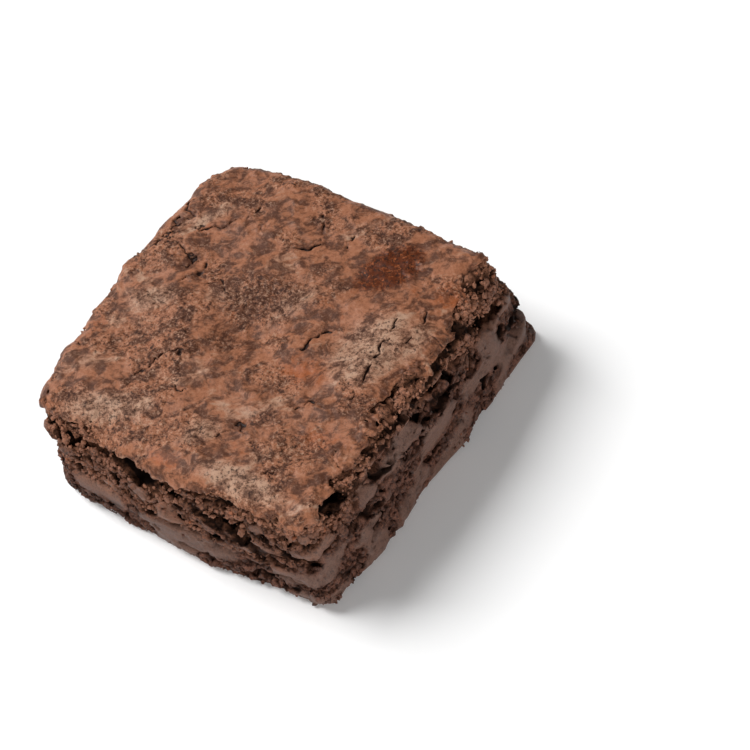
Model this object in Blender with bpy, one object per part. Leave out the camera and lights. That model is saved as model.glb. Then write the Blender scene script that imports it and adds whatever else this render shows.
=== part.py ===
"""A square chocolate brownie, baked in a tray and cut by hand, lying on its flat base.

One solid piece: a flat underside, rough cut sides with a crevice running below the crust, and a
crust with a rounded rim, low swells and one corner chipped away.
X and Y run along the sides, +Z is up, and the origin is the middle of the underside.
"""

from math import cos, exp, pi, sin

import bpy
import numpy as np
from mathutils import Vector, noise

MM = 0.001

# Driving dimensions, in millimetres
HEIGHT = 31.0                  # from the underside to the middle of the crust
CRUST_HALF = (37.5, 39.5)      # middle to the crust's straight edges, along X and Y
BASE_HALF = (38.2, 40.5)       # the same at the underside
CRUST_DOME = 0.9               # how much lower the crust lies along its rim than in its middle
FOOT_ROUND = 1.6               # rounding of the lower edge
CREVICE_DEPTH = 2.4            # the gap under the crust, at its deepest
CREVICE_DROP = 8.5             # how far below the top it runs
CREVICE_WIDTH = 1.6
LEDGE_DEPTH = 1.1              # layers of crumb that stand out of the cut sides
LEDGE_LENGTH = 15.0
LEDGE_HEIGHT = 2.7
SWELL_HEIGHT = 0.8             # slow rise and fall of the crust
SWELL_LENGTH = 12.0
SCALLOP_DEPTH = 0.9            # waves in the crust's edge on the -X side
SCALLOP_LENGTH = 13.5
CHIP_CENTRE = (39.0, 32.5)     # the crust that is missing beside the +X +Y corner
CHIP_RADIUS = 8.5
CHIP_DEPTH = 1.8

# Corners, anticlockwise from -X -Y: how far each is moved from its place, and its radius
CORNERS = (
    {"at": (-1, -1), "crust": (-0.2, 0.7), "crust_radius": 8.0, "base": (-0.4, -0.3), "base_radius": 11.0},
    {"at": (1, -1), "crust": (-1.2, 0.5), "crust_radius": 4.5, "base": (-0.2, 0.5), "base_radius": 4.0},
    {"at": (1, 1), "crust": (-2.5, 1.0), "crust_radius": 6.0, "base": (2.6, 4.9), "base_radius": 4.0},
    {"at": (-1, 1), "crust": (-1.5, 1.0), "crust_radius": 9.0, "base": (-0.3, 1.0), "base_radius": 9.0},
)
# Each side, anticlockwise from the -Y side: how far its middle bulges at the crust and at the base,
# and how far in and how far down the crust's rim curves
SIDES = (
    {"crust_bulge": 2.5, "base_bulge": 2.2, "rim_inset": 4.0, "rim_drop": 6.0},
    {"crust_bulge": 3.0, "base_bulge": 0.4, "rim_inset": 3.2, "rim_drop": 6.5},
    {"crust_bulge": 1.2, "base_bulge": 0.8, "rim_inset": 3.2, "rim_drop": 6.0},
    {"crust_bulge": 2.3, "base_bulge": 2.0, "rim_inset": 3.6, "rim_drop": 6.0},
)

# Lobes of crumb that stand out of the sides: place, radius and height
LOBES = (
    {"centre": (-38.5, -35.0, 21.0), "radius": 5.5, "out": 2.0},
    {"centre": (37.0, -41.0, 1.5), "radius": 4.5, "out": 1.3},
    {"centre": (39.5, -20.0, 3.0), "radius": 11.0, "out": 1.7},
    {"centre": (40.5, 10.0, 3.0), "radius": 4.5, "out": 1.5},
    {"centre": (-24.0, -41.0, 3.0), "radius": 10.0, "out": 1.0},
    {"centre": (40.0, 29.0, 8.0), "radius": 7.0, "out": 0.9},
    {"centre": (-41.0, 12.0, 9.0), "radius": 8.0, "out": 0.9},
    {"centre": (-8.0, 42.0, 12.0), "radius": 9.0, "out": 0.8},
)
# Broad rises and hollows of the crust: place, radii along X and Y, and height
SWELLS = (
    {"centre": (-26.0, -4.0), "radii": (8.0, 12.0), "rise": 0.9},
    {"centre": (-14.0, -28.0), "radii": (13.0, 8.0), "rise": 0.7},
    {"centre": (1.0, 1.0), "radii": (9.0, 7.0), "rise": -1.1},
    {"centre": (24.0, 5.0), "radii": (8.0, 13.0), "rise": 0.9},
    {"centre": (15.0, -15.0), "radii": (9.0, 7.0), "rise": -0.9},
    {"centre": (15.0, 26.0), "radii": (12.0, 9.0), "rise": -0.7},
    {"centre": (-18.0, 26.0), "radii": (12.0, 9.0), "rise": 0.8},
)

# How finely the surface is divided
SIDE_POINTS = 21
CORNER_POINTS = 6
SIDE_LEVELS = 24
TOP_RINGS = 14
BASE_RINGS = 3

CRUMB_COLOUR = (0.085, 0.038, 0.024, 1.0)
CRUMB_ROUGHNESS = 0.72


def outline(half, edge):
    """Points and outward directions round the crust's or the base's edge, seen from above."""
    corners = []
    for corner in CORNERS:
        sign = Vector(corner["at"])
        place = Vector((sign.x * half[0], sign.y * half[1])) + Vector(corner[edge])
        corners.append((place, sign, corner[edge + "_radius"]))
    points = []
    outward = []
    for index, side in enumerate(SIDES):
        place, sign, radius = corners[index]
        next_place, next_sign, next_radius = corners[(index + 1) % 4]
        start_angle = pi + index * pi / 2
        normal = Vector((cos(start_angle + pi / 2), sin(start_angle + pi / 2)))
        centre = place - sign * radius
        for step in range(CORNER_POINTS):
            angle = start_angle + (step + 0.5) / CORNER_POINTS * pi / 2
            direction = Vector((cos(angle), sin(angle)))
            points.append(centre + direction * radius)
            outward.append(direction)
        start = centre + normal * radius
        end = next_place - next_sign * next_radius + normal * next_radius
        for step in range(SIDE_POINTS):
            share = (step + 0.5) / SIDE_POINTS
            bulge = side[edge + "_bulge"] * sin(pi * share)
            points.append(start.lerp(end, share) + normal * bulge)
            outward.append(normal)
    return points, outward


def rim_at(index):
    """The rim's inset and drop at a point of the outline, blended round each corner."""
    side, step = divmod(index, CORNER_POINTS + SIDE_POINTS)
    share = min(1.0, (step + 0.5) / CORNER_POINTS)
    before = SIDES[side - 1]
    here = SIDES[side]
    inset = before["rim_inset"] * (1 - share) + here["rim_inset"] * share
    drop = before["rim_drop"] * (1 - share) + here["rim_drop"] * share
    return inset, drop


def bell(distance, width):
    return exp(-((distance / width) ** 2))


def slow_noise(x, y, z, length):
    return noise.noise(Vector((x, y, z)) / length)


def crust_missing(x, y):
    """How much crust is missing at a place: 0 where it is whole, 1 inside the chip."""
    ragged = 2.0 * slow_noise(x, y, 9.1, 5.0)
    inside = CHIP_RADIUS + ragged - (Vector((x, y)) - Vector(CHIP_CENTRE)).length
    return min(1.0, max(0.0, inside / 2.0 + 0.5))


def top_height(x, y):
    """The height of the crust at a place, before its rim curves down."""
    outness = ((x / CRUST_HALF[0]) ** 6 + (y / CRUST_HALF[1]) ** 6) ** (1 / 2)
    height = HEIGHT - CRUST_DOME * outness
    height += SWELL_HEIGHT * slow_noise(x, y, 3.7, SWELL_LENGTH)
    for swell in SWELLS:
        across = ((x - swell["centre"][0]) / swell["radii"][0]) ** 2
        along = ((y - swell["centre"][1]) / swell["radii"][1]) ** 2
        height += swell["rise"] * exp(-across - along)
    return height - CHIP_DEPTH * crust_missing(x, y)


def crumb_offset(place):
    """How far the cut side stands out of its smooth form at a place."""
    layered = Vector((place.x / LEDGE_LENGTH, place.y / LEDGE_LENGTH, place.z / LEDGE_HEIGHT))
    offset = LEDGE_DEPTH * noise.noise(layered)
    level = HEIGHT - CREVICE_DROP + 3.0 * slow_noise(place.x, place.y, 0.0, 17.0)
    opening = max(0.2, 0.7 + 1.2 * slow_noise(place.x, place.y, 30.0, 11.0))
    offset -= CREVICE_DEPTH * opening * bell(place.z - level, CREVICE_WIDTH)
    for lobe in LOBES:
        offset += lobe["out"] * bell((place - Vector(lobe["centre"])).length, lobe["radius"])
    return offset


def scallop(place):
    """Waves of the crust's edge along the -X side, fading out downwards and round the corners."""
    sideways = max(0.0, -place.x / CRUST_HALF[0] - 0.6) / 0.4
    upwards = max(0.0, place.z / HEIGHT - 0.35)
    return SCALLOP_DEPTH * sin(2 * pi * place.y / SCALLOP_LENGTH + 0.6) * sideways * upwards


def side_rings(base, crust, directions):
    """Rings of points from the edge of the underside up to where the rim has curved in."""
    rings = [[] for _ in range(SIDE_LEVELS)]
    for index, direction in enumerate(directions):
        inset, drop = rim_at(index)
        edge = crust[index] - direction * inset
        top = top_height(edge.x, edge.y)
        for level, ring in enumerate(rings):
            share = level / (SIDE_LEVELS - 1)
            plain = base[index].lerp(crust[index], share)
            place = Vector((plain.x, plain.y, share * top))
            foot = max(0.0, 1 - place.z / FOOT_ROUND)
            curl = min(1.0, max(0.0, 1 - (top - place.z) / drop))
            out = crumb_offset(place) * (1 - foot) * (1 - curl)
            out -= FOOT_ROUND * foot ** 2
            out -= inset * (1 - (1 - curl ** 2) ** 0.5)
            out += scallop(place)
            ring.append(Vector((*(plain + direction * out), place.z)))
    return rings


def inner_rings(edge_ring, count, height_of):
    """Rings that shrink from an edge ring towards its middle, and the middle point."""
    middle = sum((point.xy for point in edge_ring), Vector((0, 0))) / len(edge_ring)
    rings = []
    for step in range(1, count):
        ring = []
        for point in edge_ring:
            place = middle.lerp(point.xy, 1 - step / count)
            ring.append(Vector((*place, height_of(place.x, place.y))))
        rings.append(ring)
    return rings, Vector((*middle, height_of(middle.x, middle.y)))


def closed_block(rings, underside_middle, top_middle):
    """Vertices and faces of the closed block that the rings run round, from below upwards."""
    count = len(rings[0])
    vertices = [point for ring in rings for point in ring]
    last = len(vertices) - count
    vertices += [underside_middle, top_middle]
    low = len(vertices) - 2
    high = len(vertices) - 1
    faces = []
    for start in range(0, last, count):
        for index in range(count):
            here = start + index
            beside = start + (index + 1) % count
            faces.append((here, beside, beside + count))
            faces.append((here, beside + count, here + count))
    for index in range(count):
        beside = (index + 1) % count
        faces.append((low, beside, index))
        faces.append((last + index, last + beside, high))
    return vertices, faces


def brownie_form():
    """The block's vertices, in millimetres about the middle of its sizes, and its faces."""
    base, directions = outline(BASE_HALF, "base")
    crust, _ = outline(CRUST_HALF, "crust")
    sides = side_rings(base, crust, directions)
    underside, underside_middle = inner_rings(sides[0], BASE_RINGS, lambda x, y: 0.0)
    top, top_middle = inner_rings(sides[-1], TOP_RINGS, top_height)
    rings = underside[::-1] + sides + top
    return closed_block(rings, underside_middle, top_middle)


def crumb_material():
    material = bpy.data.materials.new("chocolate_crumb")
    material.use_nodes = True
    shader = material.node_tree.nodes["Principled BSDF"]
    shader.inputs["Base Color"].default_value = CRUMB_COLOUR
    shader.inputs["Roughness"].default_value = CRUMB_ROUGHNESS
    shader.inputs["Metallic"].default_value = 0.0
    return material


def make_brownie():
    vertices, faces = brownie_form()
    plan = np.array([point.xy for point in vertices])
    box_middle = Vector((*((plan.min(axis=0) + plan.max(axis=0)) / 2), 0.0))
    mesh = bpy.data.meshes.new("brownie")
    mesh.from_pydata([(point - box_middle) * MM for point in vertices], [], faces)
    mesh.shade_smooth()
    mesh.materials.append(crumb_material())
    brownie = bpy.data.objects.new("brownie", mesh)
    bpy.context.scene.collection.objects.link(brownie)


def main():
    for old in list(bpy.data.objects):
        bpy.data.objects.remove(old, do_unlink=True)
    make_brownie()


main()
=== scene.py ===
"""The looks of a chocolate brownie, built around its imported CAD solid.

The solid's distance field is read once, roughened with smooth random fields, and cut into two
closed pieces: the crumb, with its layers, crevices, pores and knife-smeared patches, and the thin
crust on top, with its swells, flakes and cracks. A third piece holds the loose crumbs on the sides.
Lengths are in millimetres up to the moment when a mesh is made, which is in metres.
"""

from math import cos, pi, radians, sin

import bmesh
import bpy
import numpy as np
from mathutils import Matrix, Vector
from mathutils.bvhtree import BVHTree


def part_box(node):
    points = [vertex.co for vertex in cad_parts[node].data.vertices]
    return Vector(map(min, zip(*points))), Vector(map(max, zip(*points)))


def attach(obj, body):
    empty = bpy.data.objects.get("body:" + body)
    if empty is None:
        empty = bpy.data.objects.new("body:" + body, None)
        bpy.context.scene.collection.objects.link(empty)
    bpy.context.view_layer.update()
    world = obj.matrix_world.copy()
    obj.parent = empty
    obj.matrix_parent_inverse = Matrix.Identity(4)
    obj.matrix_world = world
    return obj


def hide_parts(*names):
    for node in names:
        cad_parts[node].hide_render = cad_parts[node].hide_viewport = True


MM = 0.001
SEED = 41

# How finely the surface is made: the grid's step, and the coarser step at which the solid is measured
STEP = 0.25
CAD_STEP = 1.2
MARGIN = 1.6   # how far the grid reaches past the solid
PIECE_TRIANGLES = 196_000

# Crust
CRUST_THICKNESS = 0.9
CRUST_TOP = 31.0
# Where the crust is torn off on each side: how far below the top, or how far in from the side
CRUST_DROP = {"-X": 5.0, "+X": 0.2, "-Y": 4.3, "+Y": 4.5}
CRUST_INSET = {"-X": 3.0, "+X": 6.5, "-Y": 3.0, "+Y": 3.5}
# The crust's folds and streaks of colour run this way, from +X towards +Y
STREAK_ANGLE = radians(46.0)
# The chip at the +X +Y corner, where the crust is gone
CHIP_CENTRE = (39.5, 31.5)
CHIP_RADIUS = 9.0

# Cracks in the crust, seen from above, each from end to end
CRUST_CRACKS = (
    ((27.0, -9.0), (27.0, -5.0), (26.5, -1.5), (26.0, 3.0), (26.0, 8.0), (25.0, 13.0)),
    ((29.5, 6.0), (30.0, 10.0), (29.5, 14.0), (29.0, 18.5)),
    ((-7.0, 32.0), (-4.5, 29.0), (-3.0, 25.0), (-3.5, 22.0), (-6.5, 20.5)),
    ((-30.5, 14.5), (-27.0, 16.5), (-24.0, 21.0), (-21.0, 23.0), (-20.5, 27.0)),
    ((-31.0, 31.0), (-29.0, 32.5), (-28.0, 36.0)),
    ((-36.5, 21.0), (-33.5, 24.0)),
    ((-25.5, 0.5), (-22.5, 4.5), (-22.5, 8.5)),
    ((-18.0, 3.0), (-16.0, 5.5), (-13.5, 3.0)),
    ((13.0, 5.0), (11.0, 1.0), (10.5, -3.0)),
    ((18.0, -16.5), (19.5, -13.0), (22.5, -13.0)),
)

# Deep gaps in the cut sides: the points that each runs through, how deep it is, and how tall
CREVICES = (
    (((35.0, -34.0, 26.5), (36.5, -31.0, 26.0)), 3.2, 1.7),
    (((36.5, -31.0, 26.0), (37.5, -26.0, 24.5), (38.0, -20.0, 22.5), (39.0, -14.0, 20.5)), 2.0, 0.7),
    (((37.5, -17.0, 27.0), (38.0, -9.0, 27.0), (38.5, -4.0, 26.0)), 1.8, 0.8),
    (((38.0, 0.0, 27.0), (38.0, 6.0, 27.5), (37.0, 12.0, 28.0)), 2.2, 0.9),
    (((37.0, 12.0, 28.0), (37.0, 18.0, 26.5)), 2.8, 1.2),
    (((37.0, 20.0, 25.5), (38.0, 26.0, 22.5), (37.5, 31.0, 20.0)), 2.0, 0.8),
    (((39.5, -2.0, 21.0), (40.0, 7.0, 19.0), (40.0, 14.0, 18.5)), 2.2, 0.8),
    (((38.5, 31.0, 15.5), (40.0, 36.0, 13.0), (40.0, 41.0, 11.5)), 2.6, 1.1),
    (((-27.0, -40.0, 25.5), (-19.5, -41.5, 24.5), (-12.0, -42.0, 23.0), (-4.0, -43.0, 21.0)), 3.0, 1.3),
    (((2.0, -43.0, 21.5), (7.0, -43.0, 19.5), (11.0, -43.5, 15.5)), 3.0, 1.2),
    (((14.0, -42.5, 20.5), (18.5, -42.5, 18.0), (23.0, -42.5, 14.0)), 3.0, 1.2),
    (((24.0, -41.5, 20.5), (29.0, -41.0, 17.5), (33.0, -40.5, 15.5)), 2.4, 0.9),
    (((-32.0, -38.5, 27.0), (-33.0, -38.0, 24.5), (-33.5, -37.5, 23.0)), 2.8, 1.7),
    (((-41.0, -20.0, 22.0), (-41.5, -8.0, 21.0), (-41.0, 3.0, 22.5)), 3.0, 1.2),
    (((-41.5, 14.0, 20.0), (-41.0, 24.0, 18.5)), 2.4, 1.0),
    (((-22.0, 41.0, 23.0), (-8.0, 41.5, 21.5), (4.0, 41.5, 23.5)), 3.0, 1.3),
    (((14.0, 41.0, 20.0), (26.0, 42.0, 17.0)), 2.6, 1.1),
)

# Areas of colour on the crust, seen from above: middle, half lengths along and across, turn, strength
# Pale areas: paler crust, and partly painted highlight where swells and glossy skin face the light
PALE_AND_LIT_AREAS = (
    ((-27.0, -5.0), (7.0, 3.5), 30.0, 0.9),
    ((24.0, 4.0), (11.0, 7.5), 75.0, 1.0),
    ((-19.0, -34.0), (11.0, 4.0), 25.0, 0.9),
    ((3.5, -30.0), (4.5, 3.5), 45.0, 0.8),
    ((18.0, -37.0), (11.0, 3.5), 0.0, 1.0),
    ((2.0, 8.0), (7.0, 3.5), 60.0, 0.7),
    ((-29.0, 20.0), (10.0, 2.5), 53.0, 0.5),
    ((31.0, 10.0), (7.0, 3.0), 90.0, 0.8),
)
MOIST_AREAS = (((15.5, 25.0), (8.5, 5.5), 65.0, 1.0),)
# Dark areas: darker crust, and partly painted shade in dents
DARK_AND_SHADED_AREAS = (
    ((-6.0, 5.5), (12.0, 6.5), 30.0, 1.0),
    ((13.5, -21.5), (4.5, 3.0), 20.0, 0.8),
    ((-16.0, -30.5), (10.0, 1.6), 43.0, 0.8),
    ((-22.0, -3.0), (13.0, 1.8), 41.0, 0.6),
    ((-28.0, 8.0), (9.0, 2.5), 50.0, 0.6),
    ((2.0, 17.0), (5.0, 2.0), 65.0, 0.7),
    ((-6.0, -9.0), (5.0, 2.5), 30.0, 0.7),
)
RUSTY_AREAS = (
    ((30.5, 24.0), (5.0, 3.0), 70.0, 1.0),
    ((13.5, -7.0), (7.0, 4.5), 0.0, 0.9),
    ((0.0, -39.5), (4.5, 2.0), 0.0, 1.0),
    ((26.5, -20.5), (6.0, 3.5), 20.0, 0.8),
    ((-35.0, -18.0), (8.0, 3.0), 90.0, 0.5),
)

# Loose crumbs
LOOSE_CRUMBS = 2300
# Where more of them gather: middle of the spot, its reach, and how much likelier they are there
LOOSE_CRUMB_SPOTS = (
    ((37.0, -40.5, 1.5), 4.0, 1.5),
    ((41.0, 9.0, 2.5), 3.5, 1.5),
    ((37.0, 28.0, 27.0), 6.0, 1.5),
    ((-33.0, -37.0, 23.0), 4.0, 2.0),
)
LOOSE_CRUMB_SIZE = (0.2, 0.42)   # the smallest radius, and how much more the largest has

# Camera, with angles in degrees round the brownie: 0 looks from -Y and 90 from +X
CAMERA_AZIMUTH = 42.0
CAMERA_ELEVATION = 52.0
CAMERA_LEAN = -12.0
CAMERA_DISTANCE = 520.0
CAMERA_AIM = (20.2, 7.7, 15.5)
CAMERA_LENS = 114.2

# Lamps: azimuth and elevation in degrees, distance and size in metres, power in watts
LAMPS = (
    ("key", -80.0, 50.0, 2.4, 1.3, 70.0),
    ("fill", 60.0, 12.0, 1.6, 0.8, 14.0),
)
WHITE = (1.0, 1.0, 1.0, 1.0)
WORLD_STRENGTH = 0.16

# Floor, in metres: beside the brownie it glows faintly, and from FLOOR_WHITE_AT on it is plain white
FLOOR_HALF = 6.0
FLOOR_COLOUR = (0.94, 0.94, 0.94, 1.0)
FLOOR_GLOW = 0.07
FLOOR_SHADOW_REACH = 0.25
FLOOR_WHITE_AT = 0.8


def linear(red, green, blue):
    """A colour written as 0 to 255 on screen, as the shader wants it."""
    def channel(value):
        share = value / 255
        return share / 12.92 if share <= 0.04045 else ((share + 0.055) / 1.055) ** 2.4
    return (channel(red), channel(green), channel(blue), 1.0)


CRUST_BROWN = linear(158, 102, 73)
CRUST_DARK = linear(84, 49, 33)
CRUST_PALE = linear(178, 141, 117)
CRUST_RUST = linear(154, 84, 46)
CRUST_MOIST = linear(88, 38, 12)
# Near-black brown of the crust's dark specks, and the painted shade in its cracks
CRUST_SPECK_AND_CRACK_SHADE = linear(40, 20, 12)
CRUMB_DARK = linear(74, 45, 34)
CRUMB_BROWN = linear(112, 71, 55)
CRUMB_SMEAR = linear(108, 79, 67)
CRUMB_RED = linear(160, 107, 80)
# Near-black painted shade, put into the crumb's pores, pits, gaps and crevices and onto small pits of
# the loose crumbs
CRUMB_PIT_SHADE = linear(14, 7, 5)


# ---------------------------------------------------------------- smooth fields on a grid

def axis_places(low, high):
    return np.arange(low, high + STEP, STEP, dtype=np.float32)


def spline_rows(places, low, step, count):
    """The matrix that reads a row of `count` values, `step` apart from `low`, smoothly at places."""
    where = (places - low) / step
    first = np.floor(where).astype(int)
    part = where - first
    weights = (
        (1 - part) ** 3 / 6,
        (3 * part ** 3 - 6 * part ** 2 + 4) / 6,
        (-3 * part ** 3 + 3 * part ** 2 + 3 * part + 1) / 6,
        part ** 3 / 6,
    )
    rows = np.zeros((len(places), count), np.float32)
    for offset, weight in enumerate(weights):
        columns = np.clip(first + offset - 1, 0, count - 1)
        np.add.at(rows, (np.arange(len(places)), columns), weight)
    return rows


def spread(values, lows, steps):
    """A coarse block of values as a smooth field on the fine grid."""
    field = values.astype(np.float32)
    for axis in range(3):
        rows = spline_rows(AXES[axis], lows[axis], steps[axis], values.shape[axis])
        field = np.tensordot(field, rows, (0, 1))
    return field


def smooth_noise(lengths, seed):
    """Random hills and hollows of about these lengths along X, Y and Z, with a spread of 1."""
    lengths = np.broadcast_to(lengths, 3)
    counts = [int((axis[-1] - axis[0]) / length) + 5 for axis, length in zip(AXES, lengths)]
    lows = [axis[0] - 1.5 * length for axis, length in zip(AXES, lengths)]
    lattice = np.random.default_rng(SEED * 1000 + seed).standard_normal(counts)
    field = spread(lattice, lows, lengths)
    return field / field.std()


def turned_noise(lengths, turn, seed):
    """Random hills and hollows seen from above, longer along one direction, with a spread of 1."""
    x, y = np.meshgrid(AXES[0], AXES[1], indexing="ij")
    along = (x * cos(turn) + y * sin(turn)) / lengths[0]
    across = (y * cos(turn) - x * sin(turn)) / lengths[1]
    field = np.zeros(x.shape, np.float32)
    rng = np.random.default_rng(SEED * 1000 + seed)
    lattice = rng.standard_normal((int(np.ptp(along)) + 6, int(np.ptp(across)) + 6))
    along = along - along.min() + 1
    across = across - across.min() + 1
    for offset_a in range(-1, 3):
        for offset_b in range(-1, 3):
            corner_a = np.floor(along).astype(int) + offset_a
            corner_b = np.floor(across).astype(int) + offset_b
            weight = spline(along - corner_a) * spline(across - corner_b)
            field += weight * lattice[corner_a, corner_b]
    return (field / field.std())[:, :, None]


def spline(gap):
    """How much a value counts at this distance from its place, in steps."""
    gap = np.abs(gap)
    near = 2 / 3 - gap ** 2 + gap ** 3 / 2
    far = np.clip(2 - gap, 0, None) ** 3 / 6
    return np.where(gap < 1, near, far)


def packed_lumps(lengths, wobble, where, seed):
    """Lumps of about these lengths packed in a jumble, at the chosen places of the grid.

    It gives the distance to the nearest lump's middle and to the next one's, in lumps, and a
    number from 0 to 1 that belongs to the nearest lump.
    """
    place = np.argwhere(where).astype(np.float32) * STEP + wobble
    place -= place.min(axis=0)
    place = place / np.float32(lengths) + 1
    counts = place.max(axis=0).astype(int) + 3
    rng = np.random.default_rng(SEED * 1000 + seed)
    middles = rng.uniform(0.05, 0.95, (counts.prod(), 3)).astype(np.float32)
    tones = rng.random(counts.prod()).astype(np.float32)
    first = np.floor(place - 0.5).astype(np.int32)
    nearest = np.full(len(place), 9.0, np.float32)
    second = nearest.copy()
    own = np.zeros(len(place), np.float32)
    for corner in np.ndindex(2, 2, 2):
        cell = first + np.array(corner, np.int32)
        number = (cell[:, 0] * counts[1] + cell[:, 1]) * counts[2] + cell[:, 2]
        gap = place - cell - middles[number]
        far = np.einsum("ij,ij->i", gap, gap)
        closer = far < nearest
        second = np.where(closer, nearest, np.minimum(second, far))
        nearest = np.where(closer, far, nearest)
        own = np.where(closer, tones[number], own)
    return np.sqrt(nearest), np.sqrt(second), own


def ramp(field, low, high):
    """0 below low, 1 above high, and smooth between."""
    share = np.clip((field - low) / (high - low), 0, 1)
    return share * share * (3 - 2 * share)


def softly_capped(field, cap, softness):
    """The field kept below a cap, rounded where it meets it."""
    over = np.clip((field - cap) / softness + 1, 0, 2)
    return np.minimum(field, cap) - softness * 0.25 * np.where(over < 1, over, 2 - over) ** 2


def cad_distance(node):
    """The distance to the CAD solid's surface on the fine grid, below 0 inside it."""
    mesh = node.data
    mesh.calc_loop_triangles()
    points = [vertex.co / MM for vertex in mesh.vertices]
    tree = BVHTree.FromPolygons(points, [tri.vertices[:] for tri in mesh.loop_triangles])
    places = [np.arange(axis[0] - 2 * CAD_STEP, axis[-1] + 3 * CAD_STEP, CAD_STEP) for axis in AXES]
    distance = np.empty([len(axis) for axis in places], np.float32)
    up = Vector((0, 0, 1))
    for i, x in enumerate(places[0]):
        for j, y in enumerate(places[1]):
            inside = np.zeros(len(places[2]), bool)
            start = Vector((x, y, places[2][0] - 1))
            hit = tree.ray_cast(start, up)[0]
            while hit is not None:
                inside ^= places[2] > hit.z
                hit = tree.ray_cast(hit + up * 1e-3, up)[0]
            for k, z in enumerate(places[2]):
                distance[i, j, k] = tree.find_nearest(Vector((x, y, z)))[3]
            distance[i, j, inside] *= -1
    return spread(distance, [axis[0] for axis in places], [CAD_STEP] * 3)


def near_line(points, reach, flatness, wander):
    """The part of the grid near a line through points, and the distance to the line there.

    Heights count flatness times, so that equal distances make a band that much lower than deep.
    The line strays from its points by the wander field.
    """
    points = np.array(points, float)
    ranges = []
    for axis in range(3):
        low = points[:, axis].min() - reach
        high = points[:, axis].max() + reach
        ranges.append(slice(*np.searchsorted(AXES[axis], (low, high))))
    block = tuple(ranges)
    x, y, z = np.meshgrid(*(AXES[axis][block[axis]] for axis in range(3)), indexing="ij")
    stray = wander[block]
    place = np.stack([x + stray, y - stray, (z + stray) * flatness], -1)
    points[:, 2] *= flatness
    nearest = np.full(x.shape, 1e3, np.float32)
    for start, end in zip(points[:-1], points[1:]):
        along = end - start
        share = np.clip(((place - start) @ along) / (along @ along), 0, 1)
        gap = np.linalg.norm(place - start - share[..., None] * along, axis=-1)
        nearest = np.minimum(nearest, gap)
    return block, nearest


# ---------------------------------------------------------------- the brownie's own fields

def side_shares():
    """How much each place belongs to the -X, +X, -Y and +Y sides; the four add up to 1."""
    x = AXES[0][:, None] / AXES[0][-1]
    y = AXES[1][None, :] / AXES[1][-1]
    pulls = {"-X": np.exp(-9 * x) + 0 * y, "+X": np.exp(9 * x) + 0 * y}
    pulls["-Y"] = np.exp(-9 * y) + 0 * x
    pulls["+Y"] = np.exp(9 * y) + 0 * x
    total = sum(pulls.values())
    return {name: (pull / total)[:, :, None] for name, pull in pulls.items()}


def crust_edge(distance, height):
    """How far each place lies within the crust's torn edge, in millimetres; below 0 is bare crumb."""
    shares = side_shares()
    drop = sum(share * CRUST_DROP[name] for name, share in shares.items())
    inset = sum(share * CRUST_INSET[name] for name, share in shares.items())
    ragged = 0.5 * smooth_noise(3.2, 11) + 0.4 * smooth_noise(1.2, 12) + 0.5 * smooth_noise(9.0, 13)
    level = np.searchsorted(AXES[2], CRUST_TOP / 2)
    inward = -distance[:, :, level][:, :, None]
    below = np.maximum(height - (CRUST_TOP - drop), 1.5 * (inward - inset)) + ragged
    below = np.minimum(below, height - CRUST_TOP / 2)
    x = AXES[0][:, None, None] - CHIP_CENTRE[0]
    y = AXES[1][None, :, None] - CHIP_CENTRE[1]
    beside_chip = np.sqrt(x ** 2 + y ** 2) - CHIP_RADIUS + 0.7 * ragged
    return np.minimum(below, beside_chip)


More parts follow.
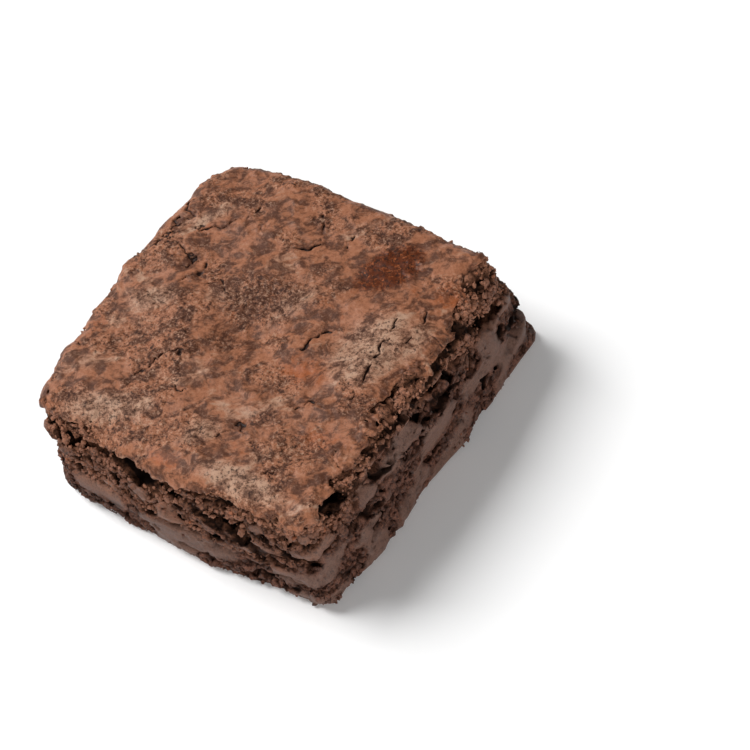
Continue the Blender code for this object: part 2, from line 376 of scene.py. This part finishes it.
def crumb_fields(distance, height, edge):
    """How far the crumb stands out, where it is smeared smooth, and where shade is painted into its
    gaps, pits, crevices and under the crust's edge.
    """
    layers = smooth_noise((9.0, 9.0, 2.6), 21)
    lumps = smooth_noise((3.0, 3.0, 1.8), 22)
    shoulder = ramp(edge, -6.0, -2.0)
    patches = smooth_noise((4.2, 4.2, 2.4), 25)
    smear = ramp(patches - 0.1 - 1.6 * shoulder + 0.5 * ramp(-height, -9.0, -4.0), 0.0, 0.5)
    rough = 1 - 0.75 * smear
    relief = 0.4 * (np.abs(layers) - 0.75) + 0.3 * (np.abs(lumps) - 0.75) - 0.15 * (1 - smear)
    relief += 0.06 * smooth_noise((1.1, 1.1, 0.9), 26)
    gaps = ramp(smooth_noise((8.0, 8.0, 4.0), 29), 0.1, 0.9) * np.exp(-((layers / 0.2) ** 2))
    relief -= 1.8 * gaps
    # Beneath the crust's overhanging edge the crumb is cut back, and shade is painted there too
    beneath = ramp(edge, -2.4, -1.2) * (1 - ramp(edge, -0.5, 0.3))
    beneath = beneath * ramp(lumps + 0.6 * layers, -1.2, 0.2)
    beneath = beneath * (1 - 0.75 * side_shares()["+X"])
    relief -= 1.7 * beneath
    # dark is painted shade: in the gaps between the layers, and under the crust's edge
    dark = np.maximum(gaps, 0.75 * beneath)

    where = (distance > -3.4) & (distance < 1.6) & (edge < 1.5) & (height > -0.6)
    wobble = np.stack([0.5 * smooth_noise(1.7, 23)[where], 0.5 * smooth_noise(1.7, 24)[where]], 1)
    wobble = np.concatenate([wobble, -0.6 * wobble[:, :1]], 1)
    rough_there = rough[where]
    clumps, next_clump, clump_tone = packed_lumps((2.0, 2.0, 1.5), wobble, where, 31)
    crumbs, next_crumb, crumb_tone = packed_lumps((0.95, 0.95, 0.8), 0.6 * wobble, where, 32)
    clump_gap = 1 - ramp(next_clump - clumps, 0.0, 0.26)
    crumb_gap = 1 - ramp(next_crumb - crumbs, 0.0, 0.35)
    missing = 1 - ramp(clump_tone, 0.08, 0.16)
    lost = 1 - ramp(crumb_tone, 0.05, 0.2)
    jumble = 0.75 * (clump_tone - 0.5) + 0.3 * (crumb_tone - 0.5) - 0.2 * crumbs ** 2
    jumble -= 0.55 * clump_gap + 0.25 * crumb_gap
    pitted = 0.3 + 0.7 * rough_there
    relief[where] += rough_there * jumble - pitted * (1.1 * missing + 0.45 * lost)
    # Painted shade where clumps meet and in the pits left by fallen-out crumbs
    between = rough_there * np.maximum(0.85 * clump_gap, 0.5 * crumb_gap)
    fallen_out = pitted * np.maximum(missing, 0.65 * lost)
    shade_in_pits = np.maximum(between, fallen_out)
    dark[where] = np.maximum(dark[where], shade_in_pits)
    relief = softly_capped(relief, 0.25 + 0.1 * patches - 0.3 * smear + 0.2 * shoulder, 0.25)
    wander = 0.45 * smooth_noise(2.2, 51) + 0.2 * smooth_noise(1.0, 52)
    for points, depth, tallness in CREVICES:
        block, gap = near_line(points, depth * 2, depth / tallness, wander)
        ragged = depth * (1 + 0.3 * lumps[block])
        inside = ragged - gap - 0.9 * (relief[block] + 0.2)
        relief[block] = np.minimum(relief[block], distance[block] - inside)
        # Painted shade inside the crevice
        dark[block] = np.maximum(dark[block], 0.84 * ramp(inside, -0.9, 0.0))
    return relief, smear, dark


def crust_relief(edge):
    """How far the crust stands out of its smooth form, how sandy it is, and where it is cracked."""
    folds = turned_noise((9.0, 3.6), STREAK_ANGLE, 41)
    wrinkles = turned_noise((4.5, 1.7), STREAK_ANGLE + 0.2, 42)
    swells = smooth_noise((6.0, 6.0, 9.0), 33)
    ripples = smooth_noise((1.3, 1.3, 3.0), 34)
    grains = smooth_noise((0.55, 0.55, 0.8), 35)
    flakes = smooth_noise((3.6, 3.6, 7.0), 36)
    sandy = ramp(smooth_noise((5.0, 5.0, 9.0), 37) + 0.3 * ripples, -0.3, 0.7)
    torn = 1 - ramp(edge, 0.3, 3.0)
    relief = 0.24 * folds + 0.18 * swells + 0.15 * wrinkles * ramp(flakes, -1.0, 1.0) + 0.06 * ripples
    relief += (0.02 + 0.07 * sandy + 0.08 * torn) * grains
    relief += 0.14 * torn * (np.abs(ripples) - 0.5)
    step = flakes + 0.2 * ripples + 0.08 * grains
    relief += 0.1 * ramp(step, 0.4, 0.48) + 0.1 * ramp(step, 1.1, 1.18)
    fissures = np.abs(smooth_noise((4.6, 4.6, 12.0), 38) + 0.2 * ripples + 0.12 * grains)
    broken = ramp(smooth_noise((5.5, 5.5, 20.0), 39) + 0.8 * torn, 0.8, 1.2)
    cracked = broken * (1 - ramp(fissures, 0.04, 0.12))
    wander = 0.3 * smooth_noise((1.6, 1.6, 9.0), 61) + 0.14 * smooth_noise((0.7, 0.7, 9.0), 62)
    for points in CRUST_CRACKS:
        line = [(x, y, CRUST_TOP) for x, y in points]
        block, gap = near_line(line, 3.0, 0.1, wander)
        wavering = gap + 0.1 * ripples[block] + 0.06 * grains[block]
        cracked[block] = np.maximum(cracked[block], 1 - ramp(wavering, 0.04, 0.3))
        relief[block] += 0.1 * (1 - ramp(gap, 0.4, 1.6))
    return relief - 0.6 * cracked, sandy, cracked


# ---------------------------------------------------------------- surfaces of fields

def surface_of(solid):
    """The closed surface where a field passes 0, as points in millimetres and four-cornered faces."""
    inside = solid < 0
    sizes = np.array(solid.shape)
    strides = np.array([sizes[1] * sizes[2], sizes[2], 1])
    flat = solid.ravel()
    cell_ids = []
    crossings = []
    faces = []
    for axis in range(3):
        head = [slice(None)] * 3
        tail = [slice(None)] * 3
        head[axis] = slice(0, -1)
        tail[axis] = slice(1, None)
        where = np.argwhere(inside[tuple(head)] != inside[tuple(tail)])
        start = where @ strides
        low = flat[start]
        high = flat[start + strides[axis]]
        place = where.astype(np.float32)
        place[:, axis] += low / (low - high)
        side_a, side_b = [other for other in range(3) if other != axis]
        to_a = strides[side_a]
        to_b = strides[side_b]
        around = [start, start - to_a, start - to_a - to_b, start - to_b]
        for cell in around:
            cell_ids.append(cell)
            crossings.append(place)
        quads = np.stack(around, 1)
        flipped = (low > 0) if axis != 1 else (low < 0)
        quads[flipped] = quads[flipped][:, ::-1]
        faces.append(quads)
    cell_ids = np.concatenate(cell_ids)
    crossings = np.concatenate(crossings)
    used, index = np.unique(cell_ids, return_inverse=True)
    counts = np.bincount(index)
    points = np.stack([np.bincount(index, crossings[:, axis]) / counts for axis in range(3)], 1)
    faces = np.searchsorted(used, np.concatenate(faces))
    origin = np.array([axis[0] for axis in AXES])
    return points * STEP + origin, faces


def largest_part(points, faces):
    """The surface without its small separate bits."""
    label = np.arange(len(points))
    ends = np.concatenate([faces[:, [0, 1]], faces[:, [1, 2]], faces[:, [2, 3]]])
    while True:
        lowest = np.minimum(label[ends[:, 0]], label[ends[:, 1]])
        joined = label.copy()
        np.minimum.at(joined, label[ends[:, 0]], lowest)
        np.minimum.at(joined, label[ends[:, 1]], lowest)
        joined = joined[joined]
        joined = joined[joined[label]]
        if np.array_equal(joined, label):
            break
        label = joined
    biggest = np.bincount(label).argmax()
    kept = label == biggest
    renumbered = np.cumsum(kept) - 1
    return points[kept], renumbered[faces[kept[faces[:, 0]]]]


def read_field(field, points):
    """A field's values at points, in millimetres."""
    where = (points - np.array([axis[0] for axis in AXES])) / STEP
    first = np.clip(np.floor(where).astype(int), 0, np.array(field.shape) - 2)
    part = np.clip(where - first, 0, 1)
    value = np.zeros(len(points))
    for corner in np.ndindex(2, 2, 2):
        weight = np.prod(np.where(corner, part, 1 - part), axis=1)
        value += weight * field[tuple((first + corner).T)]
    return value


def mesh_object(name, points, faces):
    """An object from points in millimetres and faces that all have the same number of corners."""
    corners = faces.shape[1]
    mesh = bpy.data.meshes.new(name)
    mesh.vertices.add(len(points))
    mesh.vertices.foreach_set("co", (points * MM).astype(np.float32).ravel())
    mesh.loops.add(faces.size)
    mesh.loops.foreach_set("vertex_index", faces.astype(np.int32).ravel())
    mesh.polygons.add(len(faces))
    mesh.polygons.foreach_set("loop_start", np.arange(len(faces), dtype=np.int32) * corners)
    mesh.update(calc_edges=True)
    mesh.validate()
    piece = bpy.data.objects.new(name, mesh)
    bpy.context.scene.collection.objects.link(piece)
    return piece


def decimated(piece, triangles):
    """The piece with its mesh reduced to about that many triangles, mostly where it is flat."""
    present = 2 * len(piece.data.polygons)   # its faces have four corners
    if present > triangles:
        modifier = piece.modifiers.new("fewer", "DECIMATE")
        modifier.ratio = triangles / present
        modifier.use_collapse_triangulate = True
        graph = bpy.context.evaluated_depsgraph_get()
        mesh = bpy.data.meshes.new_from_object(piece.evaluated_get(graph))
        piece.modifiers.clear()
        piece.data = mesh
        mesh.name = piece.name
        mesh.validate()
    piece.data.shade_smooth()
    return piece


def points_of(piece):
    places = np.empty(len(piece.data.vertices) * 3, np.float32)
    piece.data.vertices.foreach_get("co", places)
    return places.reshape(-1, 3) / MM


def marked(piece, name):
    values = np.empty(len(piece.data.vertices), np.float32)
    piece.data.attributes[name].data.foreach_get("value", values)
    return values


def mark(piece, name, values):
    attribute = piece.data.attributes.new(name, "FLOAT", "POINT")
    attribute.data.foreach_set("value", np.asarray(values, np.float32))


# ---------------------------------------------------------------- the pieces

def make_body_pieces(node):
    """The crumb and the crust, with the shades that their materials read."""
    distance = cad_distance(node)
    height = AXES[2][None, None, :]
    edge = crust_edge(distance, height)
    thickness = CRUST_THICKNESS * (0.3 + 0.7 * ramp(edge, 0.0, 2.0))

    skin_relief, sandy, cracked = crust_relief(edge)
    underside = thickness - np.minimum(skin_relief, 0)
    crust_solid = np.maximum(distance - skin_relief, -(distance + underside))
    crust_solid = np.maximum(crust_solid, -edge)
    crust = mesh_object("crust", *largest_part(*surface_of(crust_solid)))
    crust = decimated(crust, PIECE_TRIANGLES)
    places = points_of(crust)
    mark(crust, "cracked", read_field(cracked, places))
    mark(crust, "sandy", read_field(sandy, places))
    mark(crust, "pale", area_strength(places, PALE_AND_LIT_AREAS))
    mark(crust, "moist", area_strength(places, MOIST_AREAS))
    mark(crust, "dark", area_strength(places, DARK_AND_SHADED_AREAS))
    mark(crust, "rusty", area_strength(places, RUSTY_AREAS))

    relief, smear, dark = crumb_fields(distance, height, edge)
    relief *= ramp(distance + height, 0.0, 1.0)
    covered = ramp(edge, -0.2, 1.2)
    well_covered = ramp(edge, 0.5, 2.5)
    relief = np.where(relief > 0, relief * (1 - covered), relief * (1 - well_covered))
    crumb_solid = distance + covered * (underside + 0.05) - relief
    crumb_solid = np.maximum(crumb_solid, -height)
    crumb = mesh_object("crumb", *largest_part(*surface_of(crumb_solid)))
    crumb = decimated(crumb, PIECE_TRIANGLES)
    places = points_of(crumb)
    # sunk is how deep a place lies inside the solid, and gap the painted shade of gaps, pits, crevices
    # and the crust's underside; the crumb material paints both as shade
    mark(crumb, "sunk", -read_field(distance, places))
    mark(crumb, "gap", read_field(dark, places))
    mark(crumb, "smear", read_field(smear, places))
    mark(crumb, "near_crust", ramp(read_field(edge, places), -8.0, -0.5))
    return crumb, crust


def area_strength(places, areas):
    """How strongly each place takes an area's colour, falling off smoothly from its middle."""
    strength = np.zeros(len(places))
    for middle, halves, turn, most in areas:
        x = places[:, 0] - middle[0]
        y = places[:, 1] - middle[1]
        along = x * cos(radians(turn)) + y * sin(radians(turn))
        across = y * cos(radians(turn)) - x * sin(radians(turn))
        far = (along / halves[0]) ** 2 + (across / halves[1]) ** 2
        strength = np.maximum(strength, most * np.exp(-(far ** 1.5)))
    return strength


def loose_crumb_chance(places, near_crust, gap):
    """How likely each place is to hold a loose crumb: seldom in a gap, and less often at the back."""
    height = places[:, 2]
    below_crust = (near_crust > 0.45) * (near_crust < 0.99)
    at_back = (places[:, 0] < -34) | (places[:, 1] > 36)
    chance = (0.05 + 1.5 * below_crust) * np.where(at_back, 0.25, 1)
    chance = chance * (1 - 0.95 * np.clip(1.5 * gap, 0, 1))
    chance[(height < 1.0) | (height > CRUST_TOP - 1)] = 0
    for middle, reach, more in LOOSE_CRUMB_SPOTS:
        near = np.linalg.norm(places - np.array(middle), axis=1) < reach
        chance += more * near * (height > 0.8)
    return chance


def make_loose_crumbs(crumb):
    """Small lumps stuck to the crumb, most of them just below the crust and at the lower corners."""
    rng = np.random.default_rng(SEED)
    places = points_of(crumb)
    normals = np.empty(len(places) * 3, np.float32)
    crumb.data.vertices.foreach_get("normal", normals)
    normals = normals.reshape(-1, 3)
    near_crust = marked(crumb, "near_crust")
    chance = loose_crumb_chance(places, near_crust, marked(crumb, "gap"))
    count = LOOSE_CRUMBS
    chosen = rng.choice(len(places), count, replace=False, p=chance / chance.sum())

    shape = bmesh.new()
    bmesh.ops.create_icosphere(shape, subdivisions=2, radius=1.0)
    unit = np.array([vertex.co for vertex in shape.verts])
    triangles = np.array([[vertex.index for vertex in face.verts] for face in shape.faces])
    shape.free()

    smallest, more = LOOSE_CRUMB_SIZE
    sizes = smallest + more * rng.random(count) ** 2.5
    lump_points = []
    for place, normal, size in zip(places[chosen], normals[chosen], sizes):
        turn = np.linalg.qr(rng.standard_normal((3, 3)))[0]
        waves = [unit @ rng.standard_normal(3) * 3 + rng.random() * 2 * pi for _ in range(3)]
        bumps = sum(np.cos(wave) for wave in waves)
        lump = unit * (1 + 0.17 * bumps)[:, None] * rng.uniform(0.6, 1.3, 3)
        lump_points.append(place + normal * size * 0.05 + lump @ turn * size)
    points = np.concatenate(lump_points)
    points[:, 2] = np.maximum(points[:, 2], 0.02)
    faces = np.concatenate([triangles + index * len(unit) for index in range(count)])
    crumbs = mesh_object("loose_crumbs", points, faces)
    crumbs.data.shade_smooth()
    mark(crumbs, "tone", np.repeat(rng.random(count), len(unit)))
    mark(crumbs, "near_crust", np.repeat(near_crust[chosen], len(unit)))
    return crumbs


# ---------------------------------------------------------------- materials

class Graph:
    """A material's nodes, made by short calls; lengths are in millimetres."""

    def __init__(self, name):
        self.material = bpy.data.materials.new(name)
        self.material.use_nodes = True
        self.tree = self.material.node_tree
        self.shader = self.tree.nodes["Principled BSDF"]
        self.position = self.tree.nodes.new("ShaderNodeTexCoord").outputs["Object"]

    def put(self, socket, value):
        if isinstance(value, bpy.types.NodeSocket):
            self.tree.links.new(value, socket)
        else:
            socket.default_value = value

    def noise(self, length, detail=2.0, roughness=0.5, distortion=0.0, stretch=None):
        node = self.tree.nodes.new("ShaderNodeTexNoise")
        node.inputs["Scale"].default_value = 1 / (length * MM)
        node.inputs["Detail"].default_value = detail
        node.inputs["Roughness"].default_value = roughness
        node.inputs["Distortion"].default_value = distortion
        source = self.position
        if stretch:
            mapping = self.tree.nodes.new("ShaderNodeMapping")
            mapping.vector_type = "TEXTURE"
            mapping.inputs["Rotation"].default_value = (0, 0, STREAK_ANGLE)
            mapping.inputs["Scale"].default_value = (stretch, 1, 1)
            self.put(mapping.inputs["Vector"], self.position)
            source = mapping.outputs["Vector"]
        self.put(node.inputs["Vector"], source)
        return node.outputs["Fac"]

    def attribute(self, name):
        node = self.tree.nodes.new("ShaderNodeAttribute")
        node.attribute_name = name
        return node.outputs["Fac"]

    def ramp(self, value, low, high, start=0.0, end=1.0):
        node = self.tree.nodes.new("ShaderNodeMapRange")
        node.interpolation_type = "SMOOTHSTEP"
        self.put(node.inputs["Value"], value)
        node.inputs["From Min"].default_value = low
        node.inputs["From Max"].default_value = high
        node.inputs["To Min"].default_value = start
        node.inputs["To Max"].default_value = end
        return node.outputs["Result"]

    def math(self, operation, first, second):
        node = self.tree.nodes.new("ShaderNodeMath")
        node.operation = operation
        self.put(node.inputs[0], first)
        self.put(node.inputs[1], second)
        return node.outputs[0]

    def mix(self, factor, first, second):
        node = self.tree.nodes.new("ShaderNodeMix")
        node.data_type = "RGBA"
        first_colour, second_colour = node.inputs[6:8]
        self.put(node.inputs["Factor"], factor)
        self.put(first_colour, first)
        self.put(second_colour, second)
        return node.outputs[2]   # the mixed colour

    def bump(self, height, distance, strength=1.0, below=None):
        node = self.tree.nodes.new("ShaderNodeBump")
        node.inputs["Distance"].default_value = distance * MM
        node.inputs["Strength"].default_value = strength
        self.put(node.inputs["Height"], height)
        if below is not None:
            self.put(node.inputs["Normal"], below)
        return node.outputs["Normal"]

    def finish(self, colour, roughness, normal, gloss=0.5):
        self.put(self.shader.inputs["Base Color"], colour)
        self.put(self.shader.inputs["Roughness"], roughness)
        self.put(self.shader.inputs["Normal"], normal)
        self.put(self.shader.inputs["Specular IOR Level"], gloss)
        return self.material


def crust_material():
    """Dry brown crust with streaks, sandy specks, one moist area, pale and dark areas that are partly
    painted highlight and painted shade, and painted shade in its cracks.
    """
    g = Graph("baked_crust")
    broad = g.noise(8.0, 5.0, 0.62, 0.6, stretch=1.7)
    middling = g.noise(3.0, 5.0, 0.65, 0.5, stretch=1.2)
    fine = g.noise(0.9, 4.0, 0.65, 0.3)
    speckle = g.noise(0.8, 5.0, 0.85)
    sandy = g.math("MAXIMUM", g.attribute("sandy"), g.attribute("dark"))
    sandy = g.math("MAXIMUM", sandy, g.attribute("pale"))
    colour = g.mix(g.ramp(middling, 0.42, 0.6, 0.0, 0.95), CRUST_BROWN, CRUST_DARK)
    rust_spots = g.ramp(g.noise(5.0, 4.0, 0.62, 0.8), 0.55, 0.7, 0.0, 0.55)
    rusty = g.math("MAXIMUM", g.attribute("rusty"), rust_spots)
    rusty = g.math("MULTIPLY", rusty, g.ramp(middling, 0.32, 0.6, 1.0, 0.4))
    colour = g.mix(g.ramp(rusty, 0.15, 0.8), colour, CRUST_RUST)
    # Paler crust, partly painted highlight on swells and glossy skin
    pale = g.math("ADD", g.attribute("pale"), g.ramp(broad, 0.52, 0.68, 0.0, 0.7))
    pale = g.math("MULTIPLY", pale, g.ramp(middling, 0.34, 0.6, 1.1, 0.35))
    colour = g.mix(g.ramp(pale, 0.1, 0.9), colour, CRUST_PALE)
    # Darker crust, partly painted shade in dents
    dark = g.math("ADD", g.attribute("dark"), g.ramp(broad, 0.34, 0.48, 0.6, 0.0))
    dark = g.math("MULTIPLY", dark, g.ramp(fine, 0.35, 0.6, 1.2, 0.4))
    colour = g.mix(g.ramp(dark, 0.1, 1.0), colour, CRUST_DARK)
    moist = g.math("MULTIPLY", g.attribute("moist"), g.ramp(fine, 0.35, 0.6, 1.4, 0.7))
    colour = g.mix(g.ramp(moist, 0.15, 0.7), colour, CRUST_MOIST)
    specks = g.ramp(speckle, 0.38, 0.52, 1.0, 0.0)
    specks = g.math("MULTIPLY", specks, g.ramp(sandy, 0.0, 1.0, 0.35, 0.95))
    colour = g.mix(specks, colour, CRUST_SPECK_AND_CRACK_SHADE)
    glints = g.ramp(speckle, 0.52, 0.64, 0.0, 0.8)
    glints = g.math("MULTIPLY", glints, g.ramp(sandy, 0.0, 1.0, 0.35, 1.0))
    dry = g.ramp(g.attribute("moist"), 0.1, 0.6, 1.0, 0.0)
    colour = g.mix(g.math("MULTIPLY", glints, dry), colour, CRUST_PALE)
    wet = g.math("SUBTRACT", 1.0, dry)
    wet_specks = g.ramp(g.noise(1.1, 5.0, 0.8), 0.42, 0.52, 0.9, 0.0)
    colour = g.mix(g.math("MULTIPLY", wet, wet_specks), colour, CRUST_SPECK_AND_CRACK_SHADE)
    wet_glints = g.ramp(g.noise(1.0, 5.0, 0.8, 1.0), 0.54, 0.62, 0.0, 0.9)
    colour = g.mix(g.math("MULTIPLY", wet, wet_glints), colour, CRUST_RUST)
    # Painted shade in the cracks
    colour = g.mix(g.ramp(g.attribute("cracked"), 0.2, 0.8), colour, CRUST_SPECK_AND_CRACK_SHADE)
    roughness = g.ramp(middling, 0.35, 0.7, 0.48, 0.62)
    roughness = g.math("ADD", roughness, g.ramp(sandy, 0.2, 1.0, 0.0, 0.15))
    roughness = g.math("SUBTRACT", roughness, g.ramp(g.attribute("moist"), 0.2, 0.8, 0.0, 0.15))
    normal = g.bump(fine, 0.14, 0.7)
    normal = g.bump(speckle, 0.07, 0.8, normal)
    return g.finish(colour, roughness, normal, 0.22)


def crumb_material():
    """Dark moist crumb, redder below the crust, paler where it is smeared, with near-black painted
    shade in its pores, pits, gaps and deep hollows.
    """
    g = Graph("moist_crumb")
    middling = g.noise(2.4, 4.0, 0.62, 0.3)
    fine = g.noise(0.6, 4.0, 0.68)
    speckle = g.noise(0.26, 3.0, 0.7)
    colour = g.mix(g.ramp(middling, 0.38, 0.62), CRUMB_DARK, CRUMB_BROWN)
    smear = g.math("MULTIPLY", g.attribute("smear"), g.ramp(middling, 0.3, 0.5, 0.6, 1.0))
    colour = g.mix(smear, colour, CRUMB_SMEAR)
    red = g.math("MULTIPLY", g.attribute("near_crust"), g.ramp(fine, 0.35, 0.6, 0.4, 1.0))
    colour = g.mix(red, colour, CRUMB_RED)
    crumby = g.ramp(g.attribute("smear"), 0.2, 0.8, 1.0, 0.6)
    # Painted shade of small pores and pits, away from the smeared patches
    pores = g.math("MULTIPLY", g.ramp(fine, 0.34, 0.5, 0.7, 0.0), crumby)
    colour = g.mix(pores, colour, CRUMB_PIT_SHADE)
    specks = g.math("MULTIPLY", g.ramp(speckle, 0.38, 0.5, 0.6, 0.0), crumby)
    colour = g.mix(specks, colour, CRUMB_PIT_SHADE)
    glints = g.math("MULTIPLY", g.ramp(speckle, 0.55, 0.7, 0.0, 0.5), crumby)
    colour = g.mix(glints, colour, CRUMB_RED)
    # Painted shade in deep hollows, gaps and crevices
    sunk = g.ramp(g.attribute("sunk"), 1.2, 2.8)
    deep = g.math("MAXIMUM", g.ramp(g.attribute("gap"), 0.3, 0.9), sunk)
    colour = g.mix(deep, colour, CRUMB_PIT_SHADE)
    roughness = g.ramp(fine, 0.3, 0.7, 0.55, 0.75)
    roughness = g.math("SUBTRACT", roughness, g.ramp(smear, 0.2, 0.8, 0.0, 0.12))
    normal = g.bump(fine, 0.15, 0.7)
    normal = g.bump(speckle, 0.07, 0.7, normal)
    return g.finish(colour, roughness, normal, g.ramp(deep, 0.0, 0.7, 0.28, 0.03))


def loose_crumb_material():
    """Crumbs of several browns, a few of them rusty."""
    g = Graph("loose_crumb")
    tone = g.attribute("tone")
    speckle = g.noise(0.3, 2.0, 0.6)
    colour = g.mix(tone, CRUMB_DARK, CRUMB_BROWN)
    colour = g.mix(g.attribute("near_crust"), colour, CRUMB_RED)
    colour = g.mix(g.ramp(tone, 0.965, 0.985, 0.0, 0.7), colour, CRUST_RUST)
    # Painted shade of small pits on the crumbs
    colour = g.mix(g.ramp(speckle, 0.35, 0.55, 0.5, 0.0), colour, CRUMB_PIT_SHADE)
    roughness = g.ramp(speckle, 0.3, 0.7, 0.55, 0.8)
    return g.finish(colour, roughness, g.bump(speckle, 0.06, 0.8), 0.4)


# ---------------------------------------------------------------- the stage

def white_when_seen(name, colour, near):
    """A pale material that adds light of its own only where it is seen: a little near the object,
    where it keeps the shadow, and all that white needs far from it."""
    material = bpy.data.materials.new(name)
    material.use_nodes = True
    tree = material.node_tree
    tree.nodes.clear()
    path = tree.nodes.new("ShaderNodeLightPath")
    seen = path.outputs["Is Camera Ray"]
    for other in ("Is Glossy Ray", "Is Transmission Ray"):
        either = tree.nodes.new("ShaderNodeMath")
        either.operation = "MAXIMUM"
        tree.links.new(seen, either.inputs[0])
        tree.links.new(path.outputs[other], either.inputs[1])
        seen = either.outputs[0]
    coordinates = tree.nodes.new("ShaderNodeTexCoord")
    away = tree.nodes.new("ShaderNodeVectorMath")
    away.operation = "LENGTH"
    tree.links.new(coordinates.outputs["Object"], away.inputs[0])
    shown = tree.nodes.new("ShaderNodeMapRange")
    shown.interpolation_type = "SMOOTHSTEP"
    shown.inputs["From Min"].default_value = FLOOR_SHADOW_REACH
    shown.inputs["From Max"].default_value = FLOOR_WHITE_AT
    shown.inputs["To Min"].default_value = near
    shown.inputs["To Max"].default_value = 1.0
    tree.links.new(away.outputs["Value"], shown.inputs["Value"])
    strength = tree.nodes.new("ShaderNodeMath")
    strength.operation = "MULTIPLY"
    tree.links.new(shown.outputs["Result"], strength.inputs[1])
    tree.links.new(seen, strength.inputs[0])
    diffuse = tree.nodes.new("ShaderNodeBsdfDiffuse")
    diffuse.inputs["Color"].default_value = colour
    glow = tree.nodes.new("ShaderNodeEmission")
    tree.links.new(strength.outputs[0], glow.inputs["Strength"])
    both = tree.nodes.new("ShaderNodeAddShader")
    tree.links.new(diffuse.outputs[0], both.inputs[0])
    tree.links.new(glow.outputs[0], both.inputs[1])
    out = tree.nodes.new("ShaderNodeOutputMaterial")
    tree.links.new(both.outputs[0], out.inputs["Surface"])
    return material


def make_floor():
    mesh = bpy.data.meshes.new("floor")
    half = FLOOR_HALF
    corners = [(-half, -half, 0), (half, -half, 0), (half, half, 0), (-half, half, 0)]
    mesh.from_pydata(corners, [], [(0, 1, 2, 3)])
    mesh.materials.append(white_when_seen("pale_floor", FLOOR_COLOUR, FLOOR_GLOW))
    floor = bpy.data.objects.new("floor", mesh)
    bpy.context.scene.collection.objects.link(floor)


def make_lamp(name, azimuth, elevation, distance, size, power, aim):
    """A square soft lamp; azimuth 0 is the -Y side and 90 the +X side."""
    a = radians(azimuth)
    e = radians(elevation)
    way = Vector((sin(a) * cos(e), -cos(a) * cos(e), sin(e)))
    light = bpy.data.lights.new(name, "AREA")
    light.shape = "SQUARE"
    light.size = size
    light.energy = power
    lamp = bpy.data.objects.new(name, light)
    lamp.location = aim + way * distance
    lamp.rotation_euler = way.to_track_quat("Z", "Y").to_euler()
    bpy.context.scene.collection.objects.link(lamp)


def make_world():
    """A dim white room, which the camera sees as plain white."""
    world = bpy.data.worlds.new("studio")
    bpy.context.scene.world = world
    world.use_nodes = True
    tree = world.node_tree
    path = tree.nodes.new("ShaderNodeLightPath")
    strength = tree.nodes.new("ShaderNodeMapRange")
    strength.inputs["To Min"].default_value = WORLD_STRENGTH
    strength.inputs["To Max"].default_value = 1.0
    tree.links.new(path.outputs["Is Camera Ray"], strength.inputs["Value"])
    background = tree.nodes["Background"]
    background.inputs["Color"].default_value = WHITE
    tree.links.new(strength.outputs["Result"], background.inputs["Strength"])


def make_camera():
    """The camera's place and turn, from its angles round the brownie and its lean to one side."""
    a = radians(CAMERA_AZIMUTH)
    e = radians(CAMERA_ELEVATION)
    lean = radians(CAMERA_LEAN)
    back = Vector((sin(a) * cos(e), -cos(a) * cos(e), sin(e)))
    level = Vector((cos(a), sin(a), 0))
    steep = back.cross(level)
    right = level * cos(lean) + steep * sin(lean)
    up = steep * cos(lean) - level * sin(lean)
    camera = bpy.data.objects.new("camera", bpy.data.cameras.new("camera"))
    turn = Matrix((right, up, back)).transposed().to_4x4()
    camera.matrix_world = Matrix.Translation((Vector(CAMERA_AIM) + back * CAMERA_DISTANCE) * MM) @ turn
    camera.data.sensor_width = 36.0
    camera.data.lens = CAMERA_LENS
    camera.data.clip_start = 0.01
    bpy.context.scene.collection.objects.link(camera)
    bpy.context.scene.camera = camera


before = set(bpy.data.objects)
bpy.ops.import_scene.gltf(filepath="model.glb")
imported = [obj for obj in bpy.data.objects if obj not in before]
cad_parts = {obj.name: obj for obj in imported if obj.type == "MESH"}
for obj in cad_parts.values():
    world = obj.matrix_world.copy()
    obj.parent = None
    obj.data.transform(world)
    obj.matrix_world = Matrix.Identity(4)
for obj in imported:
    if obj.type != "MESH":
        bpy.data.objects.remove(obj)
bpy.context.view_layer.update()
brownie_low, brownie_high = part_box("brownie")
AXES = []   # the grid's places along X, Y and Z, which the functions above read
for low, high in zip(brownie_low, brownie_high):
    AXES.append(axis_places(low / MM - MARGIN, high / MM + MARGIN))

bpy.context.scene.view_settings.view_transform = "Standard"

crumb, crust = make_body_pieces(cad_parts["brownie"])
loose_crumbs = make_loose_crumbs(crumb)
for piece, make_material, slot in (
    (crumb, crumb_material, "crumb"),
    (crust, crust_material, "crust"),
    (loose_crumbs, loose_crumb_material, "crumb"),
):
    piece.data.materials.clear()
    piece.data.materials.append(make_material())
    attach(piece, "root")
    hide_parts("brownie")

make_floor()
make_world()
middle = (brownie_low + brownie_high) / 2
for lamp in LAMPS:
    make_lamp(*lamp, middle)
make_camera()
